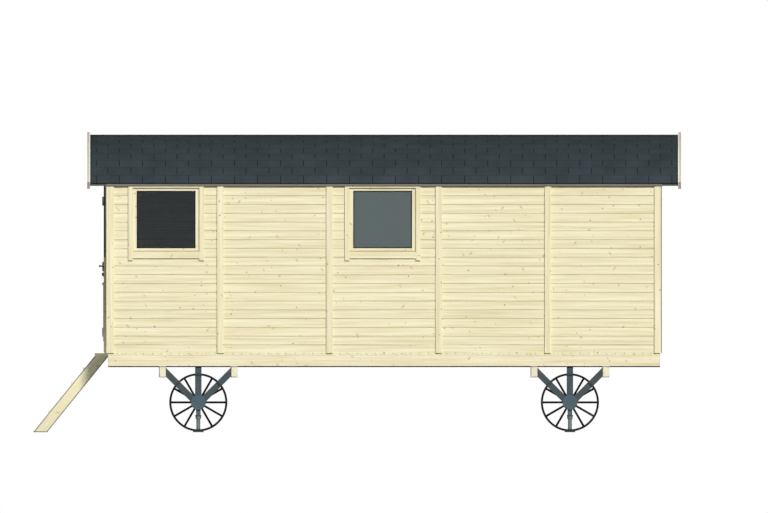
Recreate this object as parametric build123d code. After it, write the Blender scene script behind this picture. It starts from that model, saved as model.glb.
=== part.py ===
from build123d import *
from math import asin, atan2, cos, degrees, radians, sin, sqrt
import os

# A small barrel-roofed timber wagon that stands on four legs, with a stair up to its end door.
# Millimetres, +Z up. +X runs from the door end (front) to the rear, and -Y is the near side.
# The model is drawn about the middle of the body and moved along X at the end, so that the
# origin lies on the ground under the middle of the whole wagon, stair included.

# Body: the outer faces of the walls, the floor and the frame under it
BODY_LENGTH = 5520
BODY_WIDTH = 2310
WALL_THICK = 60
FLOOR_TOP = 790
FLOOR_THICK = 20
JOIST_DEEP = 115
JOIST_THICK = 45
INNER_JOISTS = 8
BEAM_DEEP = 107
BEAM_WIDE = 70

# Roof: a barrel of one radius over the walls, carried by bent ribs
ROOF_RADIUS = 1745
ROOF_TOP = 2974
EAVE_OVERHANG = 45
GABLE_OVERHANG = 209
SHINGLE_THICK = 8
SHINGLE_PAST_EAVE = 8
DECK_THICK = 20
RIB_DEEP = 70
RIB_WIDE = 45
BARGE_THICK = 30
BARGE_PROUD = 27
BARGE_DEEP = 95
BARGE_PAST_EAVE = 20

# Battens on the long sides and boards on the corners of the ends
BATTEN_WIDE = 65
BATTEN_THICK = 20
END_BAY = 1122
BAYS_BETWEEN = 3
CORNER_BATTEN_WIDE = 58
CORNER_BOARD_WIDE = 76
CORNER_BOARD_THICK = 18
EDGE_EASE = 2

# Windows: the near side has two, and the far side has one opposite the middle one
WINDOW_WIDE = 662
WINDOW_TALL = 635
WINDOW_UNDER_ROOF = 57.5
WINDOW_MIDDLE_X = -15
WINDOW_FROM_END = 580
SASH_SIDE = 37
SASH_BOTTOM = 32
SASH_TOP = 29
SASH_BEVEL = 10
SASH_BEVEL_DEEP = 3
SASH_RECESS = 4
PANE_RECESS = 8
DRAIN_GAP = 6
DRAIN_DEEP = 14
GLASS_THICK = 18
TRIM_WIDE = 48
SILL_TRIM_DEEP = 70
TRIM_TAIL = 21
TRIM_THICK = 20

# Door: one leaf that opens outwards, hung on three lift-off hinges on the far jamb
DOORWAY_WIDE = 950
DOORWAY_UNDER_RIDGE = 414
JAMB = 42
FRAME_PROUD = 38
SILL_THICK = 5
LEAF_THICK = 44
LEAF_PROUD = 44
LEAF_SIDE_GAP = 8
LEAF_SILL_GAP = 5
STOP_WIDE = 15
STOP_THICK = 20
STOP_GAP = 5
STILE = 110
BOTTOM_RAIL = 107
PANEL_TALL = 565
MIDDLE_RAIL = 128
TOP_RAIL = 120
PANEL_PROUD = 6
PANEL_BEVEL = 5
DRIP_BAR_DEEP = 30
DRIP_BAR_PROUD = 18
DRIP_BAR_INSET = 25

HINGE_COUNT = 3
HINGE_END = 200
HINGE_AXIS_OUT = 9
KNUCKLE_RADIUS = 7
KNUCKLE_FLATS = 16
KNUCKLE_TALL = 45
PIN_RADIUS = 4
PIN_PLAY = 0.08
KNUCKLE_PLAY = 0.5
STRAP_THICK = 4
PAD_WIDE = 32
PAD_FROM_AXIS = 12

LEVER_OVER_FLOOR = 871
LEVER_FROM_EDGE = 60
LEVER_REACH = 47
LEVER_LONG = 125
LEVER_TALL = 20
LEVER_THICK = 14
SPINDLE_RADIUS = 7
SPINDLE_PLAY = 0.1
LOCK_PLATE_WIDE = 45
LOCK_PLATE_ABOVE = 50
LOCK_PLATE_BELOW = 110
LOCK_PLATE_THICK = 3
LOCK_DROP = 83
LOCK_RADIUS = 16
LOCK_FLATS = 24
LOCK_PROUD = 18

# Legs, wheels and jacks: one of each under every corner. Their rounds are drawn with so many
# flats that they are within 0.3 mm of a circle, which keeps the facets of four wheels few.
LEG_FROM_END = 902
LEG_WIDE = 65
LEG_RECESS = 15
LEG_TO_BEAM = 359.5
BRACE_FOOT_DROP = 23
HOOP_RADIUS = 291
HOOP_THICK = 17
HOOP_FLATS = 72
HOOP_PROUD = 12
HUB_RADIUS = 75.5
HUB_FLATS = 36
SPOKE_RADIUS = 8.5
SPOKE_FLATS = 6
SPOKE_TURNS = (0, 30, 60, 120, 150, 180, 210, 240, 300, 330)
JACK_TUBE = 47
JACK_FLANGE_WIDE = 65
JACK_FLANGE_TOP = 171
JACK_FLANGE_THICK = 10
JACK_COLLAR_DEEP = 31
JACK_COLLAR_RADIUS = 28
JACK_COLLAR_BEVEL = 7
JACK_RAM_RADIUS = 20
RAM_FLATS = 24
FOOT_WIDE = 107
FOOT_THICK = 7

# Stair: a landing tread level with the floor and four treads housed between two stringers
STAIR_WIDE = 800
STRINGER_THICK = 45
STRINGER_DEEP = 110
TREAD_COUNT = 5
TREAD_RISE = 143.5
TREAD_GOING = 116
TREAD_THICK = 32
TREAD_DEEP = 135
TREAD_NOSE = 22
LANDING_DEEP = 134

# Clearances between pieces that are fitted together
FIT = 0.3

# Worked out from the sizes above
HALF_LENGTH = BODY_LENGTH / 2
HALF_WIDTH = BODY_WIDTH / 2
INNER_LENGTH = HALF_LENGTH - WALL_THICK
INNER_WIDTH = HALF_WIDTH - WALL_THICK
JOIST_TOP = FLOOR_TOP - FLOOR_THICK
JOIST_BOTTOM = JOIST_TOP - JOIST_DEEP
BEAM_BOTTOM = JOIST_BOTTOM - BEAM_DEEP
ROOF_AXIS_Z = ROOF_TOP - ROOF_RADIUS
DECK_OUTER = ROOF_RADIUS - SHINGLE_THICK
DECK_INNER = DECK_OUTER - DECK_THICK
ROOF_ANGLE = degrees(asin((HALF_WIDTH + EAVE_OVERHANG) / ROOF_RADIUS))
ROOF_END = HALF_LENGTH + GABLE_OVERHANG
SHINGLE_ANGLE = ROOF_ANGLE + degrees(SHINGLE_PAST_EAVE / ROOF_RADIUS)
BARGE_RADIUS = ROOF_RADIUS + BARGE_PROUD
BARGE_ANGLE = ROOF_ANGLE + degrees(BARGE_PAST_EAVE / BARGE_RADIUS)
DECK_END = ROOF_END - BARGE_THICK
BAY = (BODY_LENGTH - 2 * END_BAY) / BAYS_BETWEEN
BATTEN_X = [END_BAY - HALF_LENGTH + BAY * step for step in range(BAYS_BETWEEN + 1)]
WALL_TOP = ROOF_AXIS_Z + sqrt(DECK_INNER**2 - HALF_WIDTH**2)
WINDOW_HEAD = WALL_TOP - WINDOW_UNDER_ROOF
WINDOW_SILL = WINDOW_HEAD - WINDOW_TALL
WINDOW_FRONT_X = WINDOW_FROM_END - HALF_LENGTH
DOORWAY_TOP = ROOF_TOP - DOORWAY_UNDER_RIDGE
LEAF_WIDE = DOORWAY_WIDE - 2 * (JAMB + LEAF_SIDE_GAP)
LEAF_BOTTOM = FLOOR_TOP + SILL_THICK + LEAF_SILL_GAP
LEAF_TOP = DOORWAY_TOP - JAMB - LEAF_SIDE_GAP
LEAF_FACE = -HALF_LENGTH - LEAF_PROUD
LEAF_BACK = LEAF_FACE + LEAF_THICK
HINGE_X = LEAF_FACE - HINGE_AXIS_OUT
HINGE_Y = LEAF_WIDE / 2 + LEAF_SIDE_GAP / 2
LEVER_Y = -LEAF_WIDE / 2 + LEVER_FROM_EDGE
LEVER_HEIGHT = FLOOR_TOP + LEVER_OVER_FLOOR
PANEL_BOTTOM = LEAF_BOTTOM + BOTTOM_RAIL
PANEL_TOP = PANEL_BOTTOM + PANEL_TALL
PANE_BOTTOM = PANEL_TOP + MIDDLE_RAIL
PANE_TOP = LEAF_TOP - TOP_RAIL
LEG_X = HALF_LENGTH - LEG_FROM_END
LEG_Y = HALF_WIDTH - LEG_RECESS - LEG_WIDE / 2
WHEEL_CENTRE = FOOT_THICK + FIT + HOOP_RADIUS
STAIR_SLOPE = TREAD_RISE / TREAD_GOING
STAIR_PITCH = atan2(TREAD_RISE, TREAD_GOING)
LANDING_NOSE = -HALF_LENGTH - LANDING_DEEP
SECOND_TREAD_TOP = FLOOR_TOP - TREAD_RISE
STAIR_TOE = LANDING_NOSE - TREAD_GOING + TREAD_NOSE - SECOND_TREAD_TOP / STAIR_SLOPE
BODY_X = -(STAIR_TOE + ROOF_END) / 2


def block(x, y, z):
    """A box between two values on each axis."""
    size = [abs(high - low) for low, high in (x, y, z)]
    middle = [(low + high) / 2 for low, high in (x, y, z)]
    return Pos(*middle) * Box(*size)


def eased(shape, axis, side):
    """A board with a small chamfer round the face that looks furthest along an axis."""
    return chamfer(shape.faces().sort_by(axis)[side].edges(), EDGE_EASE)


def across(z, x=0, y=0):
    """A plane that looks along X from x: its own x runs along Y and its own y runs up."""
    return Plane(origin=(x, y, z), x_dir=(0, 1, 0), z_dir=(1, 0, 0))


def along(y, x=0, z=0):
    """A plane that faces the near side at y: its own x runs along X and its own y runs up."""
    return Plane(origin=(x, y, z), x_dir=(1, 0, 0), z_dir=(0, -1, 0))


def arc_band(inner, outer, half_angle, start, end):
    """A band bent round the roof's axis from start to end along X, its edges cut square to it."""
    reach = 2 * outer
    side = reach * sin(radians(half_angle))
    height = reach * cos(radians(half_angle))
    wedge = make_face(Polyline((0, 0), (side, height), (-side, height), close=True))
    band = (Circle(outer) - Circle(inner)) & wedge
    return extrude(across(ROOF_AXIS_Z, start) * band, end - start)


def under_roof(shape):
    """The part of a shape that lies under the roof deck."""
    length = 2 * BODY_LENGTH
    barrel = Pos(0, 0, ROOF_AXIS_Z) * Rot(0, 90, 0) * Cylinder(DECK_INNER - FIT, length)
    return shape & barrel


def both_sides(shape):
    """A near-side piece and its mirror image on the far side."""
    return [shape, mirror(shape, Plane.XZ)]


def floor_frame():
    """Rim joists along the sides, joists at the ends and between, and the floor on them."""
    joist_z = (JOIST_BOTTOM, JOIST_TOP)
    rim_y = (-HALF_WIDTH, -HALF_WIDTH + JOIST_THICK)
    between = (rim_y[1], -rim_y[1])
    near_rim = block((-HALF_LENGTH, HALF_LENGTH), rim_y, joist_z)
    end_x = HALF_LENGTH - JOIST_THICK
    ends = [block((x, x + JOIST_THICK), between, joist_z) for x in (-HALF_LENGTH, end_x)]
    pitch = (BODY_LENGTH - JOIST_THICK) / (INNER_JOISTS + 1)
    middles = [-end_x - JOIST_THICK / 2 + pitch * (step + 1) for step in range(INNER_JOISTS)]
    half = JOIST_THICK / 2
    inner = [block((x - half, x + half), between, joist_z) for x in middles]
    side = (-HALF_WIDTH, HALF_WIDTH)
    deck = block((-HALF_LENGTH, HALF_LENGTH), side, (JOIST_TOP, FLOOR_TOP))
    near, far = both_sides(near_rim)
    return {
        "rim_joist_near": near,
        "rim_joist_far": far,
        "end_joists": Compound(ends),
        "inner_joists": Compound(inner),
        "floor": deck,
    }


def cross_beams():
    """Four beams across the underside, one on each side of every pair of legs."""
    half = BEAM_WIDE / 2
    z = (BEAM_BOTTOM, JOIST_BOTTOM)
    beams = []
    for leg in (-LEG_X, LEG_X):
        for x in (leg - LEG_TO_BEAM, leg + LEG_TO_BEAM):
            beam = block((x - half, x + half), (-HALF_WIDTH, HALF_WIDTH), z)
            beams.append(eased(eased(beam, Axis.Y, 0), Axis.Y, -1))
    return {"cross_beams": Compound(beams)}


def leg_outline(gap):
    """A post and its two braces seen from the side, widened all round by a gap."""
    half = LEG_WIDE / 2 + gap
    start = LEG_WIDE / 2
    run = LEG_TO_BEAM - BEAM_WIDE / 2
    foot = WHEEL_CENTRE - BRACE_FOOT_DROP
    lift = half / cos(radians(45))
    outline = Pos(0, (JOIST_BOTTOM + WHEEL_CENTRE) / 2) * Rectangle(
        2 * half, JOIST_BOTTOM - WHEEL_CENTRE
    )
    for side in (-1, 1):
        corners = [(side * start, foot + start - lift), (side * run, foot + run - lift)]
        corners += [(side * run, foot + run + lift), (side * start, foot + start + lift)]
        outline += make_face(Polyline(*corners, close=True))
    return outline


def corner_leg():
    """Near-side leg at x = 0: a square post with a brace up to the beam on either side."""
    return extrude(along(-LEG_Y - LEG_WIDE / 2) * leg_outline(0), -LEG_WIDE)


def corner_jack():
    """Near-side jack at x = 0: a square tube, a flange, a collar, a ram and a square foot."""
    flange_bottom = JACK_FLANGE_TOP - JACK_FLANGE_THICK
    collar_bottom = flange_bottom - JACK_COLLAR_DEEP
    half_tube = JACK_TUBE / 2
    half_foot = FOOT_WIDE / 2
    flange_half = JACK_FLANGE_WIDE / 2
    tube = block((-half_tube, half_tube), (-half_tube, half_tube), (JACK_FLANGE_TOP, WHEEL_CENTRE))
    flange = block((-flange_half, flange_half), (-flange_half, flange_half),
                   (flange_bottom, JACK_FLANGE_TOP))
    ram_outline = RegularPolygon(JACK_RAM_RADIUS, RAM_FLATS)
    collar = extrude(RegularPolygon(JACK_COLLAR_RADIUS, RAM_FLATS), JACK_COLLAR_DEEP)
    collar = chamfer(collar.faces().sort_by(Axis.Z)[0].edges(), JACK_COLLAR_BEVEL)
    ram = extrude(ram_outline, collar_bottom)
    foot = block((-half_foot, half_foot), (-half_foot, half_foot), (0, FOOT_THICK))
    collar = Pos(0, 0, collar_bottom) * collar
    return Pos(0, -LEG_Y, 0) * (tube + flange + collar + ram + foot)


def corner_wheel():
    """Near-side wheel at x = 0: a flat hoop, spokes and a drum hub, notched over the leg."""
    width = LEG_WIDE + 2 * HOOP_PROUD
    hoop = RegularPolygon(HOOP_RADIUS, HOOP_FLATS)
    hoop -= RegularPolygon(HOOP_RADIUS - HOOP_THICK, HOOP_FLATS)
    face = along(-LEG_Y - width / 2, 0, WHEEL_CENTRE)
    wheel = extrude(face * (hoop + RegularPolygon(HUB_RADIUS, HUB_FLATS)), -width)
    bar = extrude(RegularPolygon(SPOKE_RADIUS, SPOKE_FLATS), HOOP_RADIUS - HOOP_THICK / 2)
    for turn in SPOKE_TURNS:
        wheel += Pos(0, -LEG_Y, WHEEL_CENTRE) * Rot(0, turn + 90, 0) * bar
    leg = extrude(along(-LEG_Y - LEG_WIDE / 2 - FIT) * leg_outline(FIT), -LEG_WIDE - 2 * FIT)
    tube_half = JACK_TUBE / 2 + FIT
    tube = block((-tube_half, tube_half), (-LEG_Y - tube_half, -LEG_Y + tube_half),
                 (JACK_FLANGE_TOP, WHEEL_CENTRE))
    ram = extrude(RegularPolygon(JACK_RAM_RADIUS + FIT, RAM_FLATS), JACK_FLANGE_TOP)
    return wheel - leg - tube - Pos(0, -LEG_Y, 0) * ram


def running_gear():
    """The leg, the jack and the wheel under each corner."""
    parts = {}
    makers = {"leg": corner_leg(), "jack": corner_jack(), "wheel": corner_wheel()}
    for name, shape in makers.items():
        for side, piece in zip(("near", "far"), both_sides(shape)):
            for end, x in (("front", -LEG_X), ("rear", LEG_X)):
                parts[f"{name}_{side}_{end}"] = Pos(x, 0, 0) * piece
    return parts


def window_hole(x):
    """The hole through a near wall for the window at x."""
    half = WINDOW_WIDE / 2
    return block((x - half, x + half), (-HALF_WIDTH, -INNER_WIDTH), (WINDOW_SILL, WINDOW_HEAD))


def window_sash(x):
    """A near-side window's frame, with its glazing bevel on the outside."""
    outer_y = -HALF_WIDTH + SASH_RECESS
    half = WINDOW_WIDE / 2
    pane_half = half - SASH_SIDE
    pane_z = (WINDOW_SILL + SASH_BOTTOM, WINDOW_HEAD - SASH_TOP)
    y = (outer_y, -INNER_WIDTH)
    frame = block((x - half, x + half), y, (WINDOW_SILL, WINDOW_HEAD))
    frame -= block((x - pane_half, x + pane_half), y, pane_z)
    outer_face = frame.faces().sort_by(Axis.Y)[0]
    frame = chamfer(outer_face.inner_wires()[0].edges(), SASH_BEVEL, SASH_BEVEL_DEEP,
                    reference=outer_face)
    drain_z = (WINDOW_SILL, WINDOW_SILL + DRAIN_GAP)
    return frame - block((x - half, x + half), (outer_y, outer_y + DRAIN_DEEP), drain_z)


def window_pane(x):
    """A near-side window's glass, seated behind the bevel."""
    pane_half = WINDOW_WIDE / 2 - SASH_SIDE
    outer_y = -HALF_WIDTH + SASH_RECESS + PANE_RECESS
    pane_z = (WINDOW_SILL + SASH_BOTTOM, WINDOW_HEAD - SASH_TOP)
    return block((x - pane_half, x + pane_half), (outer_y, outer_y + GLASS_THICK), pane_z)


def window_trim(x):
    """The boards round a near-side window: two sides that run down past the sill, sill and head."""
    half = WINDOW_WIDE / 2
    outer = half + TRIM_WIDE
    y = (-HALF_WIDTH - TRIM_THICK, -HALF_WIDTH)
    sill_bottom = WINDOW_SILL - SILL_TRIM_DEEP
    trim = block((x - outer, x + outer), y, (sill_bottom - TRIM_TAIL, ROOF_TOP))
    trim -= block((x - half, x + half), y, (WINDOW_SILL, WINDOW_HEAD))
    trim -= block((x - half, x + half), y, (sill_bottom - TRIM_TAIL, sill_bottom))
    return under_roof(eased(trim, Axis.Y, 0))


def side_batten(x, wide):
    """An upright batten on the near wall, from the floor to the roof."""
    y = (-HALF_WIDTH - BATTEN_THICK, -HALF_WIDTH)
    batten = block((x - wide / 2, x + wide / 2), y, (FLOOR_TOP, ROOF_TOP))
    return under_roof(eased(batten, Axis.Y, 0))


def side_walls():
    """The two long walls with their windows, trims and battens."""
    y = (-HALF_WIDTH, -INNER_WIDTH)
    blank = under_roof(block((-HALF_LENGTH, HALF_LENGTH), y, (FLOOR_TOP, ROOF_TOP)))
    near_x = (WINDOW_FRONT_X, WINDOW_MIDDLE_X)
    far_x = (WINDOW_MIDDLE_X,)
    corner_x = HALF_LENGTH - CORNER_BATTEN_WIDE / 2
    battens = [side_batten(x, BATTEN_WIDE) for x in BATTEN_X]
    battens += [side_batten(x, CORNER_BATTEN_WIDE) for x in (-corner_x, corner_x)]
    parts = {}
    for side, places in (("near", near_x), ("far", far_x)):
        pieces = {
            "wall": blank - [window_hole(x) for x in places],
            "battens": Compound(battens),
            "window_frames": Compound([window_sash(x) for x in places]),
            "window_glass": Compound([window_pane(x) for x in places]),
            "window_trims": Compound([window_trim(x) for x in places]),
        }
        for name, shape in pieces.items():
            near, far = both_sides(shape)
            parts[f"{side}_{name}"] = near if side == "near" else far
    return parts


def end_walls():
    """The rear wall, the front wall beside and over the doorway, and the corner boards."""
    rear_x = (INNER_LENGTH, HALF_LENGTH)
    front_x = (-HALF_LENGTH, -INNER_LENGTH)
    side = (-INNER_WIDTH, INNER_WIDTH)
    half = DOORWAY_WIDE / 2
    walls = {
        "rear_wall": block(rear_x, side, (FLOOR_TOP, ROOF_TOP)),
        "front_wall_near": block(front_x, (-INNER_WIDTH, -half), (FLOOR_TOP, ROOF_TOP)),
        "front_wall_far": block(front_x, (half, INNER_WIDTH), (FLOOR_TOP, ROOF_TOP)),
        "front_wall_over_door": block(front_x, (-half, half), (DOORWAY_TOP, ROOF_TOP)),
    }
    parts = {name: under_roof(shape) for name, shape in walls.items()}
    outer = HALF_WIDTH + BATTEN_THICK
    ends = (("front", -HALF_LENGTH - CORNER_BOARD_THICK, 0), ("rear", HALF_LENGTH, -1))
    for name, x, face in ends:
        x_span = (x, x + CORNER_BOARD_THICK)
        board = block(x_span, (-outer, -outer + CORNER_BOARD_WIDE), (FLOOR_TOP, ROOF_TOP))
        board = eased(board, Axis.X, face)
        parts[f"{name}_corner_boards"] = Compound(both_sides(under_roof(board)))
    return parts


def roof():
    """The bent ribs, the deck, the shingles and the board round each end."""
    parts = {
        "roof_deck": arc_band(DECK_INNER, DECK_OUTER, ROOF_ANGLE, -DECK_END, DECK_END),
        "roof_shingles": arc_band(DECK_OUTER, ROOF_RADIUS, SHINGLE_ANGLE, -DECK_END, DECK_END),
    }
    barge_inner = BARGE_RADIUS - BARGE_DEEP
    for name, x in (("front", -ROOF_END), ("rear", DECK_END)):
        board = arc_band(barge_inner, BARGE_RADIUS, BARGE_ANGLE, x, x + BARGE_THICK)
        parts[f"{name}_bargeboard"] = board
    rib_outer = DECK_INNER - FIT
    inside = block((-HALF_LENGTH, HALF_LENGTH), (-INNER_WIDTH, INNER_WIDTH), (0, ROOF_TOP))
    ribs = []
    for x in BATTEN_X:
        rib = arc_band(rib_outer - RIB_DEEP, rib_outer, 60, x - RIB_WIDE / 2, x + RIB_WIDE / 2)
        ribs.append(rib & inside)
    parts["roof_ribs"] = Compound(ribs)
    return parts


def door_frame():
    """The frame in the doorway: jambs, head and sill, with a stop that the leaf closes on."""
    half = DOORWAY_WIDE / 2
    clear = half - JAMB
    x = (-HALF_LENGTH - FRAME_PROUD, -INNER_LENGTH)
    sill_top = FLOOR_TOP + SILL_THICK
    head_bottom = DOORWAY_TOP - JAMB
    frame = block(x, (-half, half), (FLOOR_TOP, DOORWAY_TOP))
    frame -= block(x, (-clear, clear), (sill_top, head_bottom))
    stop_x = (LEAF_BACK + STOP_GAP, LEAF_BACK + STOP_GAP + STOP_THICK)
    stop = block(stop_x, (-clear, clear), (sill_top, head_bottom))
    stop -= block(stop_x, (STOP_WIDE - clear, clear - STOP_WIDE), (sill_top, head_bottom - STOP_WIDE))
    return {"door_frame": frame + stop}


def door_leaf():
    """The leaf: stiles and rails round a pane, a raised panel and a drip bar, and its glass."""
    half = LEAF_WIDE / 2
    leaf = block((LEAF_FACE, LEAF_BACK), (-half, half), (LEAF_BOTTOM, LEAF_TOP))
    pane_y = (STILE - half, half - STILE)
    pane_z = (PANE_BOTTOM, PANE_TOP)
    leaf -= block((LEAF_FACE, LEAF_BACK), pane_y, pane_z)
    panel = block((LEAF_FACE - PANEL_PROUD, LEAF_FACE), pane_y, (PANEL_BOTTOM, PANEL_TOP))
    leaf += chamfer(panel.faces().sort_by(Axis.X)[0].edges(), PANEL_BEVEL)
    bar_y = DRIP_BAR_INSET - half
    bar = Polyline(
        (0, 0), (-DRIP_BAR_PROUD, 0), (-DRIP_BAR_PROUD, DRIP_BAR_DEEP / 2), (0, DRIP_BAR_DEEP),
        close=True,
    )
    face = Plane(origin=(LEAF_FACE, bar_y, PANEL_TOP), x_dir=(1, 0, 0), z_dir=(0, -1, 0))
    leaf += extrude(face * make_face(bar), 2 * bar_y)
    hole_long = 4 * LEAF_THICK
    hole = Rot(0, 90, 0) * Cylinder(SPINDLE_RADIUS + SPINDLE_PLAY, hole_long)
    leaf -= Pos((LEAF_FACE + LEAF_BACK) / 2, LEVER_Y, LEVER_HEIGHT) * hole
    middle = (LEAF_FACE + LEAF_BACK) / 2
    glass_x = (middle - GLASS_THICK / 2, middle + GLASS_THICK / 2)
    return {"door_leaf": leaf, "door_glass": block(glass_x, pane_y, pane_z)}


def door_lock():
    """A plate on each face of the leaf with a lock cylinder, and the lever on its spindle."""
    half = LOCK_PLATE_WIDE / 2
    plate_z = (LEVER_HEIGHT - LOCK_PLATE_BELOW, LEVER_HEIGHT + LOCK_PLATE_ABOVE)
    hole = Pos((LEAF_FACE + LEAF_BACK) / 2, LEVER_Y, LEVER_HEIGHT) * Rot(0, 90, 0) * Cylinder(
        SPINDLE_RADIUS + SPINDLE_PLAY, 4 * LEAF_THICK
    )
    plates = []
    for face, out in ((LEAF_FACE, -1), (LEAF_BACK, 1)):
        plate_x = sorted((face, face + out * LOCK_PLATE_THICK))
        plate = block(plate_x, (LEVER_Y - half, LEVER_Y + half), plate_z)
        keyway = Pos(face, LEVER_Y, LEVER_HEIGHT - LOCK_DROP) * Rot(0, 90, 0)
        plate += keyway * extrude(RegularPolygon(LOCK_RADIUS, LOCK_FLATS), out * LOCK_PROUD)
        plates.append(plate - hole)
    outer_x = LEAF_FACE - LEVER_REACH
    inner_x = LEAF_BACK + LEVER_REACH
    spindle = Pos((outer_x + inner_x) / 2, LEVER_Y, LEVER_HEIGHT) * Rot(0, 90, 0) * Cylinder(
        SPINDLE_RADIUS, inner_x - outer_x
    )
    lever_y = (LEVER_Y - LEVER_TALL / 2, LEVER_Y + LEVER_LONG)
    lever_z = (LEVER_HEIGHT - LEVER_TALL / 2, LEVER_HEIGHT + LEVER_TALL / 2)
    lever = spindle + block((outer_x, outer_x + LEVER_THICK), lever_y, lever_z)
    lever += block((inner_x - LEVER_THICK, inner_x), lever_y, lever_z)
    return {"door_lock_plates": Compound(plates), "door_lever": lever}


def door_hinges():
    """Lift-off hinges: a pin in a knuckle on the frame, and a sleeve on the leaf over it."""
    low = LEAF_BOTTOM + HINGE_END
    high = LEAF_TOP - HINGE_END
    step = (high - low) / (HINGE_COUNT - 1)
    turned = RegularPolygon(KNUCKLE_RADIUS, KNUCKLE_FLATS)
    pins = []
    sleeves = []
    for place in range(HINGE_COUNT):
        split = low + step * place
        axis = Pos(HINGE_X, HINGE_Y, split)
        strap_x = (-STRAP_THICK / 2, STRAP_THICK / 2)
        down = (-KNUCKLE_TALL, 0)
        up = (KNUCKLE_PLAY, KNUCKLE_PLAY + KNUCKLE_TALL)
        pad_end = PAD_FROM_AXIS + PAD_WIDE
        frame_face = -HALF_LENGTH - FRAME_PROUD - HINGE_X
        knuckle = Pos(0, 0, -KNUCKLE_TALL) * extrude(turned, KNUCKLE_TALL)
        knuckle += Pos(0, 0, KNUCKLE_TALL / 2) * Cylinder(PIN_RADIUS, KNUCKLE_TALL)
        knuckle += block(strap_x, (0, pad_end), down)
        knuckle += block((-STRAP_THICK / 2, frame_face), (PAD_FROM_AXIS, pad_end), down)
        pins.append(axis * knuckle)
        sleeve = Pos(0, 0, KNUCKLE_PLAY) * extrude(turned, KNUCKLE_TALL)
        sleeve += block(strap_x, (-pad_end, 0), up)
        sleeve += block((-STRAP_THICK / 2, HINGE_AXIS_OUT), (-pad_end, -PAD_FROM_AXIS), up)
        sleeve -= Pos(0, 0, sum(up) / 2) * Cylinder(PIN_RADIUS + PIN_PLAY, 2 * KNUCKLE_TALL)
        sleeves.append(axis * sleeve)
    return {"door_hinge_pins": Compound(pins), "door_hinge_sleeves": Compound(sleeves)}


def stair():
    """Two sloping stringers, the landing tread on top of them and the treads between them."""
    outer = STAIR_WIDE / 2
    inner = outer - STRINGER_THICK
    run = STRINGER_DEEP / sin(STAIR_PITCH)
    top = FLOOR_TOP - TREAD_THICK
    top_front = STAIR_TOE + top / STAIR_SLOPE
    back_bottom = (-HALF_LENGTH - STAIR_TOE - run) * STAIR_SLOPE
    outline = Polyline(
        (STAIR_TOE, 0), (STAIR_TOE + run, 0), (-HALF_LENGTH, back_bottom), (-HALF_LENGTH, top),
        (top_front, top), close=True,
    )
    stringer = extrude(along(-outer) * make_face(outline), -STRINGER_THICK)
    near, far = both_sides(stringer)
    landing = block((LANDING_NOSE, -HALF_LENGTH), (-outer, outer), (top, FLOOR_TOP))
    treads = [eased(landing, Axis.X, 0)]
    for step in range(1, TREAD_COUNT):
        nose = LANDING_NOSE - step * TREAD_GOING
        height = FLOOR_TOP - step * TREAD_RISE
        tread = block((nose, nose + TREAD_DEEP), (-inner, inner), (height - TREAD_THICK, height))
        treads.append(eased(tread, Axis.X, 0))
    return {
        "stair_stringer_near": near,
        "stair_stringer_far": far,
        "stair_treads": Compound(treads),
    }


os.makedirs("parts", exist_ok=True)
wagon = {}
sections = (floor_frame, cross_beams, running_gear, side_walls, end_walls, roof)
for section in sections + (door_frame, door_leaf, door_lock, door_hinges, stair):
    wagon.update(section())
for node, shape in wagon.items():
    export_step(Pos(BODY_X, 0, 0) * shape, f"parts/{node}.step")
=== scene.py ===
import math

import bpy
from mathutils import Matrix, Vector


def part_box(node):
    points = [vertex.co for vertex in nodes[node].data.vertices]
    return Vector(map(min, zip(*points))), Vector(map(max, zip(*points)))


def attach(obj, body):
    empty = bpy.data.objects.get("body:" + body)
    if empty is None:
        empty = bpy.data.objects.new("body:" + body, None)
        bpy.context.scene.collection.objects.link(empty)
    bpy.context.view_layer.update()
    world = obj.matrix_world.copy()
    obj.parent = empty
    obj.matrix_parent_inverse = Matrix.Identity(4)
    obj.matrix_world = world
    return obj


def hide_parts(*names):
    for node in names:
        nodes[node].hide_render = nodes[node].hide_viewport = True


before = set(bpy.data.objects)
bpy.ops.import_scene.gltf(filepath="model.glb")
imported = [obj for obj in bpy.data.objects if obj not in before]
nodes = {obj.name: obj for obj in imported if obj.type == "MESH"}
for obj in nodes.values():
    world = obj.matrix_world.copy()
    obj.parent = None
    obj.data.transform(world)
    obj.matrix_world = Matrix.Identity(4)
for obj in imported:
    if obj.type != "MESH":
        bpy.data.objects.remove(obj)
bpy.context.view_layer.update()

# The camera stands square to the near side, far off, as for a catalogue picture.
# It is orthographic, and one metre on the wagon is a hundred pixels wide.
PIXEL = 0.01
FRAME_WIDE = 768
BODY_MIDDLE = (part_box("floor")[0].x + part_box("floor")[1].x) / 2
AIM_SHIFT = 0.001
VIEW_HEIGHT = 1.757
CAMERA_AWAY = 14.0

bpy.ops.object.camera_add(location=(BODY_MIDDLE - AIM_SHIFT, -CAMERA_AWAY, VIEW_HEIGHT),
                          rotation=(math.radians(90), 0, 0))
camera = bpy.context.object
camera.name = "side_camera"
camera.data.type = "ORTHO"
camera.data.ortho_scale = FRAME_WIDE * PIXEL
camera.data.clip_end = 4 * CAMERA_AWAY
bpy.context.scene.camera = camera


# The frame under the floor: four cross beams, a rim joist along each side, joists between.
# Planed spruce, yellow-white, with faint growth bands and small dark knots.
# The joists keep the frame's own solids, and the beams and rims are squared anew and eased.
SPRUCE_LIGHT = 0xF1E7C3
SPRUCE_DARK = 0xDBCC9A
SPRUCE_RING = 0xCFB97F
SPRUCE_KNOT = 0x6B5638
JOINT_SHADE = 0.8
# Bands of late wood are 29 mm apart and 900 mm long, and fibres 5 mm apart and 250 mm long
BANDS_PER_METRE = (1.1, 34.0, 1.0)
FIBRES_PER_METRE = (4.0, 190.0, 1.0)
# Each board is cut from another part of the log, up to 41 m away in the pattern
BOARD_SLIDE = 41.0
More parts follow.
